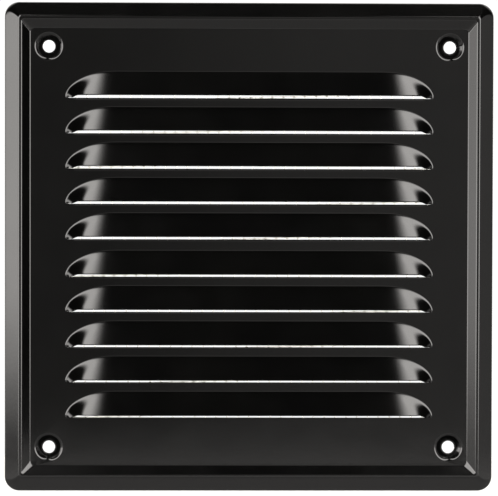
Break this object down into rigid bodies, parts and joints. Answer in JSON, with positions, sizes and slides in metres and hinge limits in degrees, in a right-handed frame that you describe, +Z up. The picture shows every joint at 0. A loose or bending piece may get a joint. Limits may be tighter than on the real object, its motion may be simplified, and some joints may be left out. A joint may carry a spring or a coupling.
{
  "type": "louvred air grille",
  "caption": "Square pressed-metal air grille with downward-facing louvre hoods, a raised mitred rim, countersunk corner holes and a bonded insect net behind.",
  "frame": {"origin": "centre of the bounding box: the middle of the plate, half way between the wall and the lips of the louvres", "axes": "+Z up, the way the hinge lines face, so the louvres open towards -Z; -Y out of the wall, towards the room; +X to the right seen from the room, along the louvres"},
  "size_m": [0.165, 0.0066, 0.165],
  "materials": {
    "plate_paint": "black semi-gloss powder coat with a fine orange-peel surface",
    "net_plastic": "off-white moulded polypropylene net",
    "hot_melt": "milky, slightly yellow hot-melt adhesive"
  },
  "bodies": {
    "root": {"grille_plate": "plate_paint", "insect_screen": "net_plastic", "glue_pad_top": "hot_melt", "glue_pad_bottom": "hot_melt", "glue_pad_left_upper": "hot_melt", "glue_pad_left_middle": "hot_melt", "glue_pad_left_lower": "hot_melt", "glue_pad_right_upper": "hot_melt", "glue_pad_right_middle": "hot_melt", "glue_pad_right_lower": "hot_melt"}
  },
  "joints": []
}
